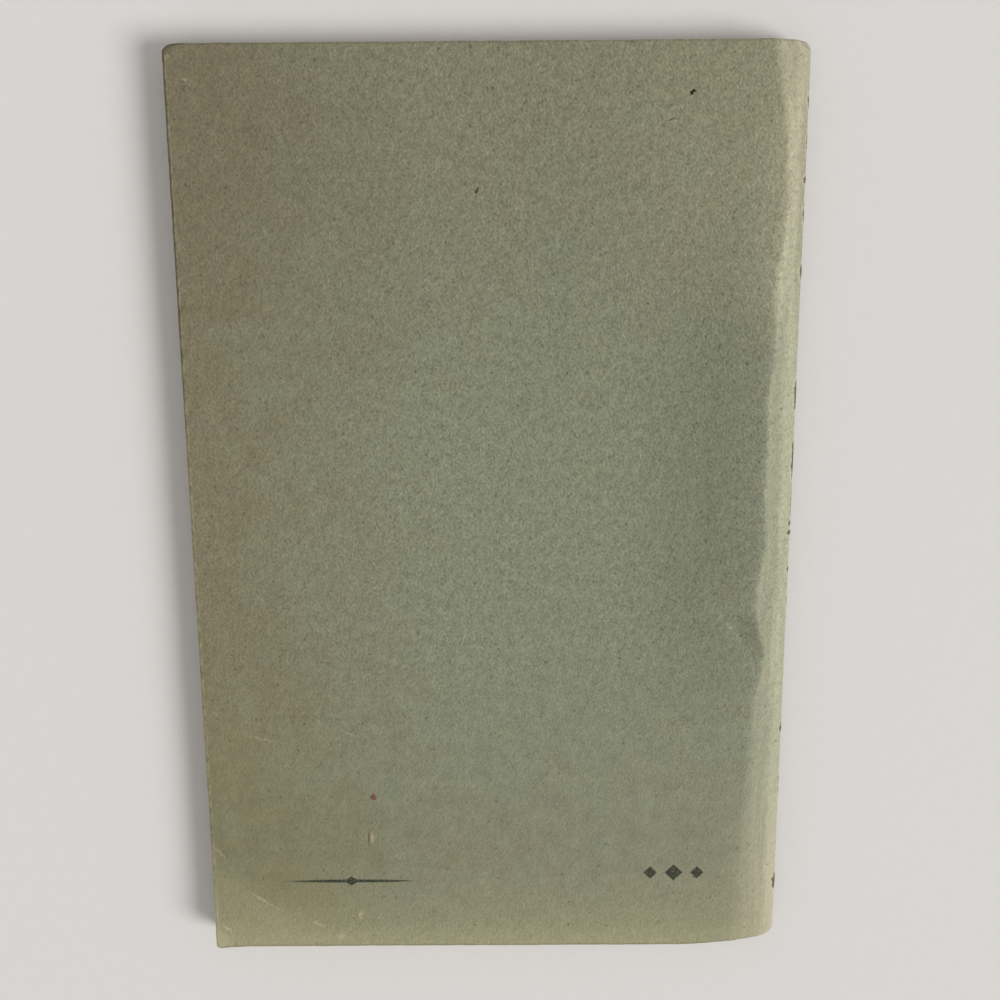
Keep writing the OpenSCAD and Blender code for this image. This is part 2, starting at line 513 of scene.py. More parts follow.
def page_leaf(leaf, y, trim):
    """Points and faces of one leaf, with each point's place on its leaf and its distance in from the edges.
    The leaf is trimmed by three amounts: at the fore-edge, the head and the tail."""
    share = (leaf + 0.5) / LEAVES * 2 - 1
    half = HALF_T - PAGE_INSET
    r = NOSE_R - PAGE_INSET
    nose_x = nose_place(y)
    crease = front_crease(y) + (back_crease(y) - front_crease(y)) * (share + 1) / 2
    slope = nose_slope(nose_x - crease, half, r)
    touch_h = r * np.cos(slope)
    end_x = nose_x + np.sqrt(r * r - (share * touch_h) ** 2)
    left = FORE_X + trim[0] + corner_inset(y, HEAD_CORNER, TAIL_CORNER)
    slot_low = STITCH_X - WIRE_W / 2 - WIRE_GAP
    slot_high = STITCH_X + WIRE_W / 2 + WIRE_GAP
    before = left + (slot_low - left) * LEAF_BEFORE
    after = slot_high + (end_x - slot_high) * LEAF_AFTER
    x = np.hstack([before, np.full(y.shape, slot_low), after])
    h = np.maximum(half - np.tan(slope) * soft_ramp(x - crease, crease_soft(y)), touch_h)
    inner_y = np.where(y > 0, y * (1 - trim[1] / HEAD_Y), y * (1 + trim[2] / TAIL_Y))
    inner_y = inner_y + tail_wear(x, y)
    near_fore = np.clip((SPINE_X - x) / (SPINE_X - FORE_X), 0, 1) ** 2
    bend = LEAF_WAVE * (1 - share * share) * near_fore * leaf_sag(x, y)
    bend = bend - PAGE_DENT_PRESS * dent(x, y, PAGE_DENT_SPREAD) * max(share, 0) ** PAGE_DENT_FADE
    grids = []
    for edge in (LEAF_FILL, -LEAF_FILL):
        z = MID_Z + (share + edge / LEAVES) * h + bend
        grids.append(np.stack([x, inner_y, z], axis=-1))
    y_middles = (y[1:, 0] + y[:-1, 0]) / 2
    stitch_h = np.interp(STITCH_X, x[y.size // 2], h[y.size // 2])
    kept = slots(y_middles, share * stitch_h, x.shape[1] - 1, LEAF_BEFORE.size)
    points, faces = slab(*grids, kept)
    gap = np.minimum(x - left, np.minimum(HEAD_Y - y, y - TAIL_Y))
    place = np.stack([x, np.broadcast_to(y, x.shape), np.full(x.shape, float(leaf))], axis=-1)
    return points, faces, np.tile(place.reshape(-1, 3), (2, 1)), np.tile(gap.ravel(), 2)


def page_leaves(material):
    """The pages: a pinched stack of thin leaves, each trimmed a little differently."""
    random = np.random.default_rng(TRIM_SEED)
    y = leaf_rows()[:, None]
    all_points, all_faces, all_places, all_gaps = [], [], [], []
    count = 0
    for leaf in range(LEAVES):
        stepped = GATHERING_STEP * ((leaf // GATHERING) % 2)
        trim = stepped + LEAF_TRIM * random.random(3)
        points, faces, places, gaps = page_leaf(leaf, y, trim)
        all_points.append(points)
        all_faces.append(faces + count)
        all_places.append(places)
        all_gaps.append(gaps)
        count += len(points)
    attributes = {"leaf": np.concatenate(all_places), "edge_gap": np.concatenate(all_gaps)}
    points, faces = np.concatenate(all_points), np.concatenate(all_faces)
    return mesh_object("page_leaves", points, faces, attributes, material)


def shade(red, green, blue):
    """An sRGB colour, each part from 0 to 255, as linear RGBA."""
    parts = []
    for part in (red, green, blue):
        level = part / 255
        parts.append(level / 12.92 if level <= 0.04045 else ((level + 0.055) / 1.055) ** 2.4)
    return (*parts, 1.0)


# In the values of the materials below:
# a colour is sRGB, each part from 0 to 255;
# a fade is where it is none, where it is full, and how strong it is there, if that isn't 1;
# a noise is the size of its spots, its detail, its roughness and its strength;
# fibres are their cell, length, width, share of the cells, and the spread of their directions;
# a blot is its middle, its length and width, its turn in degrees, its rim's softness and its strength.
FIBRE_CURL = 0.25
DIAMOND_SOFT = 0.12


class Paint:
    """One node material, with short ways to add its nodes: numbers or sockets go in, a socket comes out."""

    def __init__(self, name):
        self.material = bpy.data.materials.new(name)
        self.material.use_nodes = True
        self.tree = self.material.node_tree
        self.shader = self.tree.nodes["Principled BSDF"]

    def set(self, socket, value):
        if isinstance(value, bpy.types.NodeSocket):
            self.tree.links.new(value, socket)
        else:
            socket.default_value = value

    def node(self, kind, inputs, **settings):
        node = self.tree.nodes.new(kind)
        for key, value in settings.items():
            setattr(node, key, value)
        for key, value in inputs.items():
            self.set(node.inputs[key], value)
        return node

    def finish(self, **inputs):
        """Sets the shader's inputs, with _ for each space in their names."""
        for key, value in inputs.items():
            self.set(self.shader.inputs[key.replace("_", " ")], value)
        return self.material

    def vector(self, name):
        return self.node("ShaderNodeAttribute", {}, attribute_name=name).outputs["Vector"]

    def value(self, name):
        return self.node("ShaderNodeAttribute", {}, attribute_name=name).outputs["Fac"]

    def split(self, vector):
        return self.node("ShaderNodeSeparateXYZ", {0: vector}).outputs

    def calc(self, operation, a, b=0.0):
        return self.node("ShaderNodeMath", {0: a, 1: b}, operation=operation).outputs[0]

    def times(self, first, *others):
        for other in others:
            first = self.calc("MULTIPLY", first, other)
        return first

    def plus(self, first, *others):
        for other in others:
            first = self.calc("ADD", first, other)
        return first

    def weighted(self, *pairs):
        """The sum of sockets, each times its weight."""
        return self.plus(*(self.times(socket, weight) for socket, weight in pairs))

    def rest(self, mask):
        """What a mask leaves."""
        return self.calc("SUBTRACT", 1.0, mask)

    def either(self, *masks):
        """1 where any of the masks is 1."""
        return self.rest(self.times(*(self.rest(mask) for mask in masks)))

    def clamp(self, value):
        return self.node("ShaderNodeClamp", {0: value}).outputs[0]

    def fade(self, value, span):
        """A smooth step over the span of a fade."""
        none, full, *strength = span
        most = strength[0] if strength else 1.0
        inputs = {"Value": value, "From Min": none, "From Max": full, "To Max": most}
        return self.node("ShaderNodeMapRange", inputs, interpolation_type="SMOOTHSTEP").outputs[0]

    def vector_math(self, operation, a, b=(0.0, 0.0, 0.0)):
        node = self.node("ShaderNodeVectorMath", {0: a, 1: b}, operation=operation)
        return node.outputs["Value" if operation in ("LENGTH", "DOT_PRODUCT") else "Vector"]

    def placed(self, vector, place=(0, 0), size=(1, 1), turn=0.0):
        """The vector as seen from a place, turned, and with size as its unit."""
        inputs = {"Vector": vector, "Location": (*place, 0), "Rotation": (0, 0, turn), "Scale": (*size, 1)}
        return self.node("ShaderNodeMapping", inputs, vector_type="TEXTURE").outputs[0]

    def noise(self, vector, kind):
        """Noise from minus to plus half its strength."""
        size, detail, roughness, strength = kind
        inputs = {"Vector": vector, "Scale": 1 / size, "Detail": detail, "Roughness": roughness}
        spots = self.node("ShaderNodeTexNoise", inputs, noise_dimensions="2D").outputs["Fac"]
        return self.times(self.calc("SUBTRACT", spots, 0.5), strength)

    def blot(self, vector, mark):
        """A soft ellipse."""
        place, size, turn, soft, strength = mark
        seen = self.placed(vector, place, (size[0] / 2, size[1] / 2), math.radians(turn))
        return self.fade(self.vector_math("LENGTH", seen), (1.0, 1.0 - soft, strength))

    def diamond(self, vector, place, size):
        """A diamond, size long and wide."""
        seen = self.placed(vector, place, (size[0] / 2, size[1] / 2))
        reach = self.vector_math("DOT_PRODUCT", self.vector_math("ABSOLUTE", seen), (1.0, 1.0, 1.0))
        return self.fade(reach, (1.0, 1.0 - DIAMOND_SOFT))

    def fibres(self, vector, kind):
        """Short curved strokes about Y, at most one to a cell."""
        cell, length, width, share, spread = kind
        inputs = {"Vector": vector, "Scale": 1 / cell}
        cells = self.node("ShaderNodeTexVoronoi", inputs, voronoi_dimensions="2D").outputs
        chance = self.node("ShaderNodeSeparateColor", {0: cells["Color"]}).outputs
        local = self.vector_math("SUBTRACT", vector, cells["Position"])
        angle = self.plus(math.pi / 2, self.times(self.calc("SUBTRACT", chance[0], 0.5), spread))
        inputs = {"Vector": local, "Angle": angle}
        turned = self.node("ShaderNodeVectorRotate", inputs, rotation_type="Z_AXIS").outputs[0]
        along, across, _ = self.split(turned)
        bow = self.times(along, along, self.calc("SUBTRACT", chance[2], 0.5), FIBRE_CURL)
        stroke = self.fade(self.calc("ABSOLUTE", self.plus(across, bow)), (width, 0.0))
        ends = self.fade(self.calc("ABSOLUTE", along), (length / 2, length / 4))
        return self.times(stroke, ends, self.calc("LESS_THAN", chance[1], share))

    def mix(self, factor, a, b, blend="MIX"):
        """Two colours mixed. Each is an sRGB colour or a socket."""
        first, second = (shade(*colour) if isinstance(colour, tuple) else colour for colour in (a, b))
        inputs = {0: factor, 6: first, 7: second}
        return self.node("ShaderNodeMix", inputs, data_type="RGBA", blend_type=blend).outputs[2]

    def scaled(self, colour, *levels):
        """The colour made lighter or darker by the sum of the levels, which is about 1."""
        return self.mix(1.0, colour, self.plus(*levels), "MULTIPLY")

    def bump(self, height, distance, strength):
        inputs = {"Height": height, "Distance": distance * MM, "Strength": strength}
        return self.node("ShaderNodeBump", inputs).outputs[0]


# Masks that several stages of the cover's paint share
DRIFT = (24.0, 2.0, 0.5, 26.0)
TO_TAIL = (-38.0, -66.0)
TO_HEAD = (22.0, 58.0)
BARE_FROM = (28.0, 42.0)
BARE_TO = (72.0, 62.0)
STRIP_WOBBLE = (1.3, 2.0, 0.6, 1.3)
STRIP_SOFT = 0.5
STRIP_SLACK = (-24.0, -35.0)
STRIP_SOFT_TAIL = 1.1
STRIP_SOFT_HEAD = 0.3
GRAIN_SHAPE = (1.0, 1.35)
GRAIN_TURN = 0.5
GRAIN = (0.4, 1.5, 0.7, 1.0)
CLOUD_SHAPE = (1.0, 1.3)
CLOUD_TURN = -0.35
CLOUD = (1.1, 1.0, 0.5, 1.0)
PALE_FIBRES = (1.5, 1.7, 0.1, 0.32, 2.0)
SHORT_FIBRES = (0.75, 0.95, 0.11, 0.45, 1.7)
RAGGED_SCALE = 1.2
RAGGED_DETAIL = 1.0
RAGGED_REACH = (0.9, 0.9, 0.0)


class CoverPaint(Paint):
    """The wrapper's paint, with what its points carry and the masks that its stages share."""

    def __init__(self, name):
        super().__init__(name)
        self.sheet = self.vector("sheet")
        self.x, self.y, _ = self.split(self.sheet)
        self.fore_gap = self.value("fore_gap")
        self.crease_run = self.value("crease_run")
        self.spine_gap = self.value("spine_gap")
        self.edge_gap = self.value("edge_gap")
        self.worn = self.value("worn")
        self.inside = self.value("inside")
        self.drift = self.noise(self.sheet, DRIFT)
        self.to_tail = self.fade(self.y, TO_TAIL)
        self.to_head = self.fade(self.y, TO_HEAD)
        self.bare = self.times(self.fade(self.y, BARE_FROM), self.fade(self.y, BARE_TO))
        self.strip = self.past_crease()
        self.grained = self.placed(self.sheet, size=GRAIN_SHAPE, turn=GRAIN_TURN)
        self.grain = self.noise(self.grained, GRAIN)
        self.cloud = self.noise(self.placed(self.sheet, size=CLOUD_SHAPE, turn=CLOUD_TURN), CLOUD)
        self.pale_fibres = self.fibres(self.sheet, PALE_FIBRES)
        self.short_fibres = self.fibres(self.sheet, SHORT_FIBRES)
        self.ragged = self.roughened()

    def past_crease(self):
        """The strip past the crease, with a wobbling rim that is softer towards the head and the tail."""
        ends = self.weighted((self.to_tail, STRIP_SOFT_TAIL), (self.to_head, STRIP_SOFT_HEAD))
        soft = self.plus(STRIP_SOFT, self.fade(self.y, STRIP_SLACK), ends)
        wobbled = self.plus(self.crease_run, self.noise(self.sheet, STRIP_WOBBLE))
        return self.fade(wobbled, (self.times(soft, -1.0), soft))

    def roughened(self):
        """The sheet's places, shifted a little at random, for marks with ragged rims."""
        inputs = {"Vector": self.sheet, "Scale": RAGGED_SCALE, "Detail": RAGGED_DETAIL}
        shift = self.node("ShaderNodeTexNoise", inputs, noise_dimensions="2D").outputs["Color"]
        shift = self.vector_math("SUBTRACT", shift, (0.5, 0.5, 0.5))
        return self.vector_math("ADD", self.sheet, self.vector_math("MULTIPLY", shift, RAGGED_REACH))


# Browning
GREEN_PAPER = (126, 130, 108)
WARM_PAPER = (132, 129, 105)
BROWN_PAPER = (121, 114, 90)
LOW_BROWN_PAPER = (124, 119, 91)
PATCHES = (7.0, 4.0, 0.6, 1.05)
HEAD_TONE = (14.0, 72.0)
TAIL_TONE = (-30.0, -76.0, 0.9)
FORE_TONE = (52.0, -4.0)
PATCHY = 0.35
PATCHY_FORE = 0.65
LOW = (-12.0, -52.0)
MOTTLE = (3.2, 2.0, 0.5, 0.16)
LOW_MOTTLE = 0.6
HEAD_SHADE = (4.0, 66.0, -0.12)
HEAD_SHADE_X = (42.0, 10.0)
TAIL_SHADE = (-34.0, -58.0, -0.04)
TAIL_SHADE_X = (26.0, 0.0)


def browned(paper):
    """The sheet's colour, browned from the fore-edge, the head and the tail, in patches."""
    patches = paper.noise(paper.sheet, PATCHES)
    drifted_y = paper.plus(paper.y, paper.drift)
    ends = paper.either(paper.fade(drifted_y, HEAD_TONE), paper.fade(drifted_y, TAIL_TONE))
    colour = paper.mix(paper.clamp(paper.plus(ends, patches)), GREEN_PAPER, WARM_PAPER)
    fore_tone = paper.fade(paper.plus(paper.fore_gap, paper.drift), FORE_TONE)
    patchy = paper.times(patches, paper.plus(PATCHY, paper.times(fore_tone, PATCHY_FORE)))
    brown = paper.clamp(paper.plus(fore_tone, patchy))
    low = paper.fade(paper.y, LOW)
    colour = paper.mix(brown, colour, paper.mix(low, BROWN_PAPER, LOW_BROWN_PAPER))
    mottle = paper.times(paper.noise(paper.sheet, MOTTLE), paper.plus(1.0, paper.times(low, LOW_MOTTLE)))
    head_shade = paper.times(paper.fade(paper.y, HEAD_SHADE), paper.fade(paper.x, HEAD_SHADE_X))
    tail_shade = paper.times(paper.fade(paper.y, TAIL_SHADE), paper.fade(paper.x, TAIL_SHADE_X))
    return paper.scaled(colour, 1.0, mottle, head_shade, tail_shade)


# The pale tail. At the fore-edge corner, an arc bounds it
PALE_PAPER = (157, 152, 119)
RUB = (3.5, 3.0, 0.65, 3.0)
TAIL_PALE = (-60.0, -84.0, 0.56)
TAIL_PALE_DRIFT = 0.25
TAIL_EDGE = (-73.0, -78.5, 0.54)
PALE_ARC_PLACE = (-13.6, -32.4)
PALE_ARC_R = 45.6
PALE_ARC_RUB = 0.3
PALE_ARC_RIM = (-1.5, 2.5, 0.27)
PALE_CORNER_X = (-18.0, -38.0)
PALE_CORNER_Y = (-50.0, -60.0)


def paler_tail(paper, colour):
    """Paler towards the tail, partly painted light, and rubbed paler at its edge and at the fore-edge
    corner.
    """
    rub = paper.noise(paper.sheet, RUB)
    # The broad lightening towards the tail is partly painted light
    tail_pale = paper.fade(paper.plus(paper.y, paper.times(paper.drift, TAIL_PALE_DRIFT)), TAIL_PALE)
    tail_edge = paper.fade(paper.plus(paper.y, rub), TAIL_EDGE)
    from_arc = paper.vector_math("LENGTH", paper.placed(paper.sheet, PALE_ARC_PLACE))
    past_arc = paper.plus(from_arc, -PALE_ARC_R, paper.times(rub, PALE_ARC_RUB))
    at_corner = paper.times(paper.fade(paper.x, PALE_CORNER_X), paper.fade(paper.y, PALE_CORNER_Y))
    corner = paper.times(paper.fade(past_arc, PALE_ARC_RIM), at_corner)
    return paper.mix(paper.either(tail_pale, tail_edge, corner), colour, PALE_PAPER)


# The faded strip, from its near side at the crease to its far side at the nose
STRIP_NEAR = (148, 148, 124)
STRIP_NEAR_WARM = (158, 153, 128)
STRIP_FAR = (180, 180, 152)
STRIP_FAR_WARM = (181, 176, 149)
# Painted shade on the panel just before the crease, where it dips towards the ridge
HOLLOW_SHADE_RUN = (-27.0, -8.0, -0.15)
HOLLOW_SHADE_Y = 8.0
HOLLOW_SHADE_REACH = (52.0, 14.0)
# Painted shade: a dark patch on the dent's gentle side, which slopes away from the light
PAINTED_DENT_SHADE = ((43.8, -17.8), (9.0, 6.0), -47, 0.9, -0.1)
STRIP_LINE = (0.8, 14.0)
STRIP_LINES = (1.0, 1.0, 0.5, 0.7)
STRIP_SPOTS = (1.2, 3.0, 0.7, 1.0)
CHALK = 0.7
CHALK_BARE = 0.9
TO_NOSE = (4.4, 1.4)
TO_NOSE_BARE = 0.5
TO_NOSE_TAIL = 0.3
RISE_RUN = (-8.0, -0.5)
RISE = 0.24
RISE_BARE = 0.28
TAIL_FAINT = -0.5
# Painted shade on the rounded nose, and on the strip just back from it in the bare band
NOSE_SHADE_GAP = (2.9, 1.4)
NOSE_SHADE = -0.28
NOSE_SHADE_TAIL = 0.12
NOSE_SHADE_BARE = 0.06
BARE_SHADE = (4.4, 2.9, -0.15)


def faded_strip(paper, colour):
    """The faded strip past the crease, with painted shade on its nose; painted shade on the panel just
    before the crease and at the dent.
    """
    bare, to_tail = paper.bare, paper.to_tail
    # Painted shade on the panel before the crease, and a painted dark patch at the dent
    from_hollow = paper.calc("ABSOLUTE", paper.plus(paper.y, -HOLLOW_SHADE_Y))
    hollow_shade = paper.times(paper.fade(paper.crease_run, HOLLOW_SHADE_RUN), paper.fade(from_hollow, HOLLOW_SHADE_REACH))
    colour = paper.scaled(colour, 1.0, hollow_shade, paper.blot(paper.sheet, PAINTED_DENT_SHADE))
    lines = paper.noise(paper.placed(paper.sheet, size=STRIP_LINE), STRIP_LINES)
    spots = paper.noise(paper.sheet, STRIP_SPOTS)
    chalk = paper.times(spots, paper.plus(CHALK, paper.times(bare, CHALK_BARE)))
    paler = paper.weighted((bare, TO_NOSE_BARE), (to_tail, TO_NOSE_TAIL))
    to_nose = paper.clamp(paper.plus(paper.fade(paper.spine_gap, TO_NOSE), lines, chalk, paler))
    warm_ends = paper.either(paper.to_head, to_tail)
    near = paper.mix(warm_ends, STRIP_NEAR, STRIP_NEAR_WARM)
    far = paper.mix(warm_ends, STRIP_FAR, STRIP_FAR_WARM)
    rise = paper.plus(RISE, paper.times(bare, RISE_BARE))
    rise = paper.times(paper.fade(paper.crease_run, RISE_RUN), rise)
    colour = paper.mix(rise, colour, near)
    faint = paper.times(to_tail, paper.rest(to_nose), TAIL_FAINT)
    strip = paper.times(paper.strip, paper.plus(1.0, faint))
    colour = paper.mix(strip, colour, paper.mix(to_nose, near, far))
    # Painted shade on the nose and on the strip beside it
    nose_shade = paper.plus(NOSE_SHADE, paper.weighted((to_tail, NOSE_SHADE_TAIL), (bare, NOSE_SHADE_BARE)))
    nose_shade = paper.times(paper.fade(paper.spine_gap, NOSE_SHADE_GAP), nose_shade)
    bare_shade = paper.times(bare, paper.fade(paper.spine_gap, BARE_SHADE))
    return paper.scaled(colour, 1.0, nose_shade, bare_shade)


# Grain, fibres and flecks
SOFT_TAIL = (-8.0, -62.0, 0.5)
SOFT_FORE = (44.0, 2.0, 0.2)
SOFT_STRIP = 0.35
DARK_FLECKS = (0.85, 0.55, 0.13, 0.35, math.pi)
SPECKS = (5.0, 0.7, 0.3, 0.6, math.pi)
GRAIN_LEVEL = 0.88
CLOUD_LEVEL = 0.4
SHORT_FIBRE_LEVEL = 0.3
PALE_FIBRE_LEVEL = 0.25
FLECK_LEVEL = -0.27
SPECK_LEVEL = -0.32


def grainy(paper, colour):
    """Grain and fibres, softer towards the tail and the fore-edge and on the strip, and specks."""
    soft_tail = paper.fade(paper.y, SOFT_TAIL)
    soft_fore = paper.fade(paper.fore_gap, SOFT_FORE)
    crisp = paper.rest(paper.either(soft_tail, soft_fore, paper.times(paper.strip, SOFT_STRIP)))
    level = paper.weighted(
        (paper.grain, GRAIN_LEVEL),
        (paper.cloud, CLOUD_LEVEL),
        (paper.short_fibres, SHORT_FIBRE_LEVEL),
        (paper.pale_fibres, PALE_FIBRE_LEVEL),
        (paper.fibres(paper.grained, DARK_FLECKS), FLECK_LEVEL),
    )
    specks = paper.fibres(paper.sheet, SPECKS)
    return paper.scaled(colour, 1.0, paper.times(level, crisp), paper.times(specks, SPECK_LEVEL))


# Scuffs and pale creases, one of them partly a painted highlight, and the folded corner at the tail
SCUFFS = (
    ((-48.8, -74.4), (4.4, 0.9), -54, 0.8, 1.0),
    ((-41.9, -68.8), (8.6, 0.55), -35, 0.9, 1.0),
    ((-32.2, -73.5), (3.4, 0.9), -23, 0.8, 1.0),
    ((-49.4, -59.4), (5.6, 0.8), -50, 0.9, 0.5),
    ((-24.5, -71.8), (1.2, 3.0), 0, 0.9, 1.0),
    ((-28.1, -76.0), (2.8, 1.5), 0, 0.9, 1.0),
    # The dent's pale line: partly a creased scuff, partly a painted highlight on the dent's steep side
    ((41.6, -18.6), (8.0, 0.5), -51, 0.9, 0.6),
    ((-40.6, -37.6), (8.6, 0.6), -14, 0.9, 0.45),
    ((-25.3, -36.6), (6.6, 0.5), -20, 0.9, 0.3),
    ((43.6, -32.9), (4.2, 0.45), 83, 0.9, 0.4),
    ((49.9, -74.8), (3.0, 0.8), 58, 0.9, 1.0),
    ((49.6, 76.6), (2.6, 0.9), -52, 0.9, 1.0),
    ((-50.3, 75.9), (2.4, 1.0), 64, 0.9, 0.6),
)
SCUFFED_PAPER = (180, 174, 140)
PALE_DASH = ((-47.6, 72.5), (1.5, 0.4), -8, 0.9, 0.7)
SCUFF_LEVEL = 0.5
SCUFF_GRAIN = 1.2
PEELED = ((-21.95, -56.6), (0.9, 2.8), 0, 0.8, 0.6)
PEELED_PAPER = (182, 162, 116)
FOLDED = ((-50.0, -76.2), (5.2, 3.0), -54, 0.5, 1.0)
FOLDED_PAPER = (180, 174, 142)
RUBBED_FORE = (1.0, 0.3)
RUBBED_LOW = (-64.0, -71.0)
RUBBED_LEVEL = 0.28


def scuffed(paper, colour):
    """Scuffs and pale creases broken up by the grain, a peeled spot, and the rubbed tail corner."""
    marks = [paper.blot(paper.ragged, mark) for mark in SCUFFS]
    scuffs = paper.either(*marks, paper.blot(paper.sheet, PALE_DASH))
    broken = paper.clamp(paper.plus(SCUFF_LEVEL, paper.times(paper.grain, SCUFF_GRAIN)))
    colour = paper.mix(paper.times(scuffs, broken), colour, SCUFFED_PAPER)
    colour = paper.mix(paper.blot(paper.sheet, PEELED), colour, PEELED_PAPER)
    rubbed = paper.times(paper.fade(paper.fore_gap, RUBBED_FORE), paper.fade(paper.y, RUBBED_LOW))
    rubbed = paper.either(paper.blot(paper.sheet, FOLDED), rubbed)
    return paper.mix(paper.times(rubbed, RUBBED_LEVEL), colour, FOLDED_PAPER)


# Grime and painted shadow lines, and the torn nicks of the spine with painted shadow in them
GRIME = (2.2, 3.0, 0.6, 0.5)
BRIGHT_EDGE = (0.75, 0.4)
BRIGHT_PATCH = (-0.06, 0.06, 0.4)
BRIGHT_PAPER = (164, 158, 122)
TORN_SHAPE = (1.0, 1.6)
TORN = (0.6, 3.0, 0.7, 1.1)
TORN_WORN = (0.03, 0.3)
TORN_RIM = (0.08, 0.28, 0.45)
TORN_PAPER = (190, 184, 152)
NICK_SHADOW = (0.28, 0.6)
EDGE_DIRT_AND_SHADOW = (0.46, 0.14)
EDGE_DIRT_AND_SHADOW_GRIME = 0.5
EDGE_DIRT_AND_SHADOW_LOW = 0.3
EDGE_DIRT_AND_SHADOW_HIGH = (0.0, 40.0, 0.65)
TRIMMED_HEAD = (76.4, 77.2, -0.75)
TRIMMED_FORE = (1.5, 4.0)
DIRTY_CORNER = ((-50.2, 77.3), (4.6, 2.2), 40, 0.7, 0.55)
SPINE_GRIME_AND_SHADOW = (1.15, 0.6)
SPINE_GRIME_AND_SHADOW_PATCH = (-0.02, 0.1, 0.55)
DIRT_AND_SHADE = (64, 58, 42)
DIRT_AND_SHADE_LEVEL = 0.85


def grime_and_shadow_lines(paper, colour):
    """The bright fore-edge, the spine's torn nicks with painted shadow in them, grime on a corner, and grime
    with painted shadow lines on the cut edges and the spine.
    """
    grime = paper.noise(paper.sheet, GRIME)
    bright = paper.times(paper.fade(paper.fore_gap, BRIGHT_EDGE), paper.fade(grime, BRIGHT_PATCH))
    colour = paper.mix(bright, colour, BRIGHT_PAPER)
    torn = paper.noise(paper.placed(paper.sheet, size=TORN_SHAPE), TORN)
    split = paper.plus(paper.worn, paper.times(torn, paper.fade(paper.worn, TORN_WORN)))
    colour = paper.mix(paper.fade(split, TORN_RIM), colour, TORN_PAPER)
    # Along the cut edges, and more towards the head: dirt, and a painted shadow line at the cover's edge
    edge_run = paper.plus(paper.edge_gap, paper.times(grime, EDGE_DIRT_AND_SHADOW_GRIME))
    high = paper.plus(EDGE_DIRT_AND_SHADOW_LOW, paper.fade(paper.y, EDGE_DIRT_AND_SHADOW_HIGH))
    trimmed = paper.times(paper.fade(paper.y, TRIMMED_HEAD), paper.fade(paper.fore_gap, TRIMMED_FORE))
    edge = paper.times(paper.fade(edge_run, EDGE_DIRT_AND_SHADOW), high, paper.plus(1.0, trimmed))
    corner = paper.blot(paper.ragged, DIRTY_CORNER)
    # Along the middle of the spine, where its rounded nose turns under: patchy grime and painted shadow
    spine = paper.times(paper.fade(paper.spine_gap, SPINE_GRIME_AND_SHADOW), paper.fade(grime, SPINE_GRIME_AND_SHADOW_PATCH))
    # The dark cores of the nicks are painted shadow in the torn slits
    dirt_and_shade = paper.either(edge, corner, paper.fade(split, NICK_SHADOW), spine)
    return paper.mix(paper.times(dirt_and_shade, DIRT_AND_SHADE_LEVEL), colour, DIRT_AND_SHADE)


# Specks and stains
STAINS = (
    ((32.1, 70.1), (1.35, 0.65), 38, 0.25, 1.0),
    ((32.65, 70.4), (0.35, 0.7), 25, 0.3, 1.0),
    ((-1.85, 55.5), (0.6, 0.9), 0, 0.4, 0.75),
    ((28.95, 66.1), (2.6, 0.25), 14, 0.4, 0.6),
    ((35.4, 32.1), (0.6, 0.5), 0, 0.4, 0.4),
    ((43.1, -32.9), (4.0, 0.35), 83, 0.4, 0.3),
)
HAIR_LINES = (
    ((27.2, -28.8), (3.4, 0.3), -46, 0.4, 0.3),
    ((34.75, 34.4), (2.5, 0.3), 79, 0.4, 0.4),
    ((38.05, 34.0), (1.9, 0.3), 93, 0.4, 0.32),
    ((-22.55, -56.4), (0.42, 3.0), -4, 0.4, 0.5),
)
STAIN = (36, 36, 26)
RUST_SPOT = ((-21.6, -48.7), (1.6, 1.25), 0, 0.5, 0.85)
RUST = (104, 66, 42)


def stained(paper, colour):
    """Dark specks, hair lines and a spot of rust."""
    specks = [paper.blot(paper.ragged, mark) for mark in STAINS]
    lines = [paper.blot(paper.sheet, mark) for mark in HAIR_LINES]
    colour = paper.mix(paper.either(*specks, *lines), colour, STAIN)
    return paper.mix(paper.blot(paper.ragged, RUST_SPOT), colour, RUST)


# Printer's ornaments
SWELLED_RULE = ((-26.0, -65.0), (25.6, 0.7), 0, 0.3, 1.0)
DIAMONDS = (
    ((-26.0, -65.0), (3.0, 1.9)),
    ((28.0, -63.6), (2.6, 2.6)),
    ((32.2, -63.6), (3.4, 3.4)),
    ((36.4, -63.6), (2.6, 2.6)),
)
INK = (44, 46, 34)
INK_LEVEL = 0.66
STARVED_SPOTS = (0.4, 2.0, 0.5, 1.0)
STARVED = (-0.2, 0.0, 0.3)


def ornaments(paper):
    """Where the ink is: a swelled rule with a diamond at its middle, and three diamonds, unevenly inked."""
    diamonds = [paper.diamond(paper.sheet, place, size) for place, size in DIAMONDS]
    ink = paper.either(paper.blot(paper.sheet, SWELLED_RULE), *diamonds)
    starved = paper.fade(paper.noise(paper.sheet, STARVED_SPOTS), STARVED)
    return paper.times(ink, paper.plus(INK_LEVEL, starved))


# The cover's inner face and its finish
INNER_PAPER = (148, 147, 123)
INNER_RELIEF = -0.6
GRAIN_RELIEF = 1.2
CLOUD_RELIEF = 0.5
PALE_FIBRE_RELIEF = 0.4
SHORT_FIBRE_RELIEF = 0.3
COVER_BUMP = (0.12, 0.6)
COVER_ROUGH = 0.86
GRAIN_ROUGH = 0.2
STRIP_ROUGH = -0.1
INK_ROUGH = -0.12
COVER_SPECULAR = 0.25


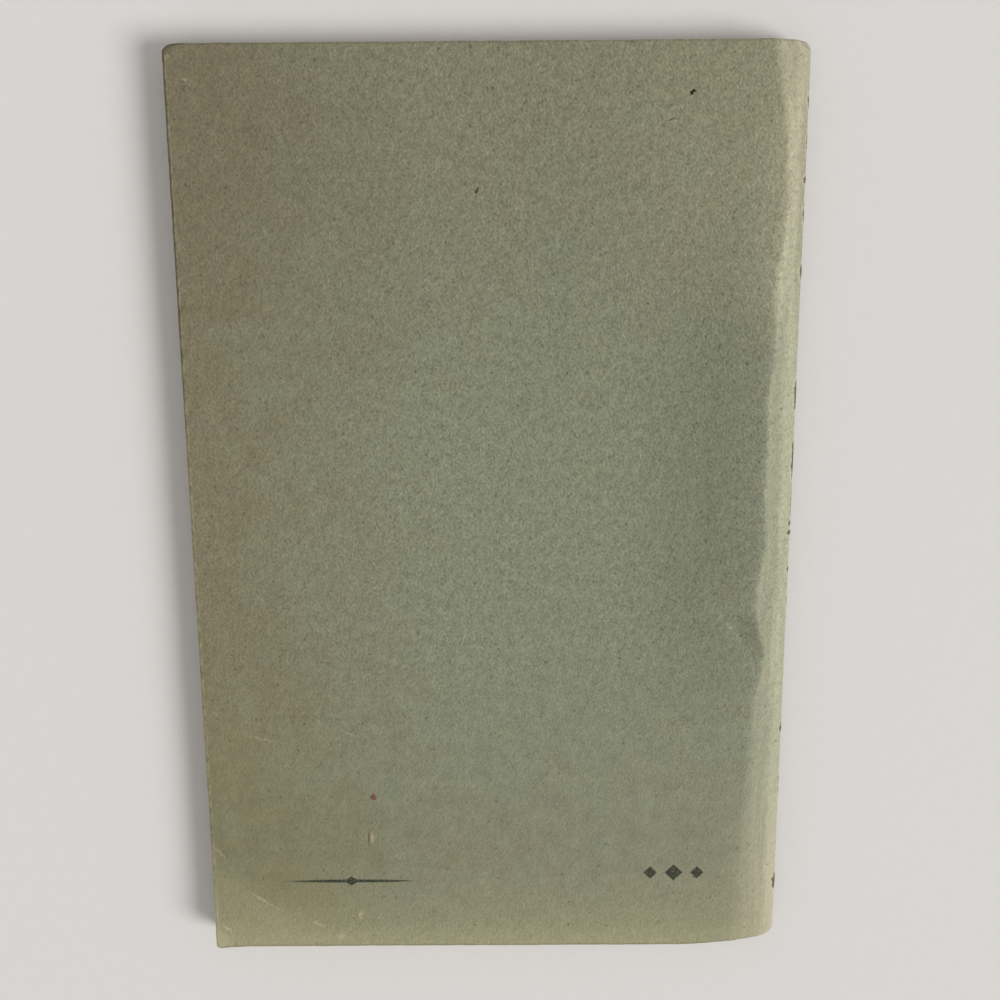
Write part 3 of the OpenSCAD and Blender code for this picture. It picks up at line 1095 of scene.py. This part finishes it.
def cover_material():
    """Matte grey-green wrapper paper: browned at the edges, faded along the spine, scuffed and specked."""
    paper = CoverPaint("cover_paper")
    colour = faded_strip(paper, paler_tail(paper, browned(paper)))
    colour = paper.mix(paper.inside, colour, INNER_PAPER)
    for stage in (grainy, scuffed, grime_and_shadow_lines, stained):
        colour = stage(paper, colour)
    ink = ornaments(paper)
    relief = paper.weighted(
        (paper.grain, GRAIN_RELIEF),
        (paper.cloud, CLOUD_RELIEF),
        (paper.pale_fibres, PALE_FIBRE_RELIEF),
        (paper.short_fibres, SHORT_FIBRE_RELIEF),
    )
    relief = paper.times(relief, paper.plus(1.0, paper.times(paper.inside, INNER_RELIEF)))
    rough = paper.weighted((paper.grain, GRAIN_ROUGH), (paper.strip, STRIP_ROUGH), (ink, INK_ROUGH))
    return paper.finish(
        Base_Color=paper.mix(ink, colour, INK),
        Roughness=paper.plus(COVER_ROUGH, rough),
        Specular_IOR_Level=COVER_SPECULAR,
        Normal=paper.bump(relief, *COVER_BUMP),
    )


# Pages
PAGE = (223, 211, 178)
BROWNED_PAGE = (196, 172, 126)
CUT_PAGE = (178, 150, 104)
PAGE_PATCHES = (16.0, 3.0, 0.5, 7.0)
PAGE_BROWN = (20.0, 0.0, 0.8)
PAGE_CUT = (0.5, 0.0, 0.5)
PAGE_GRAIN = (0.6, 3.0, 0.6, 1.0)
PAGE_FIBRES = (1.8, 1.6, 0.1, 0.3, math.pi)
PAGE_LEVEL = 0.92
PAGE_TINT_LEVEL = 0.14
PAGE_GRAIN_LEVEL = 0.14
PAGE_FIBRE_LEVEL = -0.06
PAGE_FIBRE_RELIEF = 0.4
PAGE_BUMP = (0.05, 0.5)
PAGE_ROUGH = 0.88
PAGE_GRAIN_ROUGH = 0.2
PAGE_SPECULAR = 0.2


def page_material():
    """Aged book paper, browned at its cut edges, with a slightly different tint for each leaf."""
    paper = Paint("page_paper")
    leaf = paper.vector("leaf")
    edge_gap = paper.value("edge_gap")
    _, _, number = paper.split(leaf)
    patches = paper.noise(leaf, PAGE_PATCHES)
    colour = paper.mix(paper.fade(paper.plus(edge_gap, patches), PAGE_BROWN), PAGE, BROWNED_PAGE)
    colour = paper.mix(paper.fade(edge_gap, PAGE_CUT), colour, CUT_PAGE)
    tint = paper.node("ShaderNodeTexWhiteNoise", {"W": number}, noise_dimensions="1D").outputs["Value"]
    grain = paper.noise(leaf, PAGE_GRAIN)
    fibres = paper.fibres(leaf, PAGE_FIBRES)
    level = paper.weighted((tint, PAGE_TINT_LEVEL), (grain, PAGE_GRAIN_LEVEL), (fibres, PAGE_FIBRE_LEVEL))
    relief = paper.plus(grain, paper.times(fibres, PAGE_FIBRE_RELIEF))
    return paper.finish(
        Base_Color=paper.scaled(colour, PAGE_LEVEL, level),
        Roughness=paper.plus(PAGE_ROUGH, paper.times(grain, PAGE_GRAIN_ROUGH)),
        Specular_IOR_Level=PAGE_SPECULAR,
        Normal=paper.bump(relief, *PAGE_BUMP),
    )


# Wire. Its pattern is in metres
TINNED_WIRE = (150, 148, 142)
DRAWN_SHAPE = (0.1 * MM, 3 * MM)
DRAWN = (1.0, 2.0, 0.5, 1.0)
RUST_SPOTS = (0.8 * MM, 4.0, 0.7, 1.0)
RUSTED = (0.02, 0.16)
DRAWN_LEVEL = 0.3
RUST_METALLIC = -0.9
WIRE_ROUGH = 0.38
RUST_ROUGH = 0.45
DRAWN_ROUGH = 0.2
WIRE_BUMP = (0.02, 0.5)


def wire_material():
    """Flat tinned stitching wire, drawn along its length and a little rusted."""
    wire = Paint("stitch_wire")
    place = wire.node("ShaderNodeTexCoord", {}).outputs["Object"]
    drawn = wire.noise(wire.placed(place, size=DRAWN_SHAPE), DRAWN)
    rust = wire.fade(wire.noise(place, RUST_SPOTS), RUSTED)
    colour = wire.mix(rust, TINNED_WIRE, RUST)
    return wire.finish(
        Base_Color=wire.scaled(colour, 1.0, wire.times(drawn, DRAWN_LEVEL)),
        Metallic=wire.plus(1.0, wire.times(rust, RUST_METALLIC)),
        Roughness=wire.plus(WIRE_ROUGH, wire.weighted((rust, RUST_ROUGH), (drawn, DRAWN_ROUGH))),
        Normal=wire.bump(wire.plus(drawn, rust), *WIRE_BUMP),
    )


# Floor. Its pattern is in metres
BOARD = (212, 209, 206)
BOARD_GRAIN = (2 * MM, 3.0, 0.5, 1.0)
BOARD_GRAIN_LEVEL = 0.03
BOARD_ROUGH = 0.8


def floor_material():
    """Plain pale board."""
    board = Paint("floor_board")
    place = board.node("ShaderNodeTexCoord", {}).outputs["Object"]
    grain = board.noise(place, BOARD_GRAIN)
    colour = board.scaled(BOARD, 1.0, board.times(grain, BOARD_GRAIN_LEVEL))
    return board.finish(Base_Color=colour, Roughness=BOARD_ROUGH)


def add_floor():
    """A wide floor just under the booklet, low enough for the front cover to open onto it."""
    corners = [(-1, -1), (1, -1), (1, 1), (-1, 1)]
    points = np.array([(FLOOR_HALF * x, FLOOR_HALF * y, BOTTOM_Z - FLOOR_GAP) for x, y in corners])
    floor = mesh_object("floor", points, np.array([[0, 1, 2, 3]]), {}, floor_material())


def add_camera():
    """The photograph's camera: it looks down at the back cover, from the head side of the middle."""
    lens = bpy.data.cameras.new("camera")
    lens.lens = CAMERA_LENS
    lens.sensor_width = CAMERA_SENSOR
    lens.clip_start = CAMERA_NEAR_M
    camera = bpy.data.objects.new("camera", lens)
    back = (CAMERA_PLACE - CAMERA_AIM).normalized()
    level = Vector((0, 1, 0)).cross(back).normalized()
    upright = back.cross(level)
    right = level * math.cos(CAMERA_ROLL) + upright * math.sin(CAMERA_ROLL)
    up = back.cross(right)
    turned = Matrix((right, up, back)).transposed().to_4x4()
    camera.matrix_world = Matrix.Translation(CAMERA_PLACE * MM) @ turned
    bpy.context.scene.collection.objects.link(camera)
    bpy.context.scene.camera = camera


def add_lights():
    """Even light from all round, a paler backdrop for the eye, and a broad soft lamp at the spine's side."""
    world = bpy.data.worlds.new("studio")
    world.use_nodes = True
    nodes, links = world.node_tree.nodes, world.node_tree.links
    background = nodes["Background"]
    background.inputs["Color"].default_value = WHITE
    rays = nodes.new("ShaderNodeLightPath").outputs
    seen = nodes.new("ShaderNodeMath")
    seen.operation = "MAXIMUM"
    links.new(rays["Is Camera Ray"], seen.inputs[0])
    links.new(rays["Is Glossy Ray"], seen.inputs[1])
    strength = nodes.new("ShaderNodeMapRange")
    strength.inputs["To Min"].default_value = WORLD_LEVEL
    strength.inputs["To Max"].default_value = BACKDROP_LEVEL
    links.new(seen.outputs[0], strength.inputs["Value"])
    links.new(strength.outputs[0], background.inputs["Strength"])
    bpy.context.scene.world = world
    lamp = bpy.data.lights.new("key", "SUN")
    lamp.angle = KEY_SPREAD
    lamp.energy = KEY_LEVEL * math.pi / KEY_FROM.normalized().z
    key = bpy.data.objects.new("key", lamp)
    key.rotation_euler = KEY_FROM.to_track_quat("Z", "Y").to_euler()
    bpy.context.scene.collection.objects.link(key)


bpy.context.scene.view_settings.view_transform = "Standard"
add_camera()
add_lights()
add_floor()

cover_paper = cover_material()
back_half = wrapper_half("wrapper_back", 1, back_crease, back_lift, BACK_FRAY_SEEDS, cover_paper)
front_half = wrapper_half("wrapper_front", -1, front_crease, no_lift, FRONT_FRAY_SEEDS, cover_paper)
for half, cover, z in ((back_half, "back_cover", TOP_Z), (front_half, "front_cover", BOTTOM_Z)):
    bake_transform(half)
    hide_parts(cover, "spine_wrap")

leaves = page_leaves(page_material())
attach(leaves, "block")
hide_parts("page_block")

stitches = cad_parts["wire_stitches"].data
stitches.materials.clear()
stitches.materials.append(wire_material())
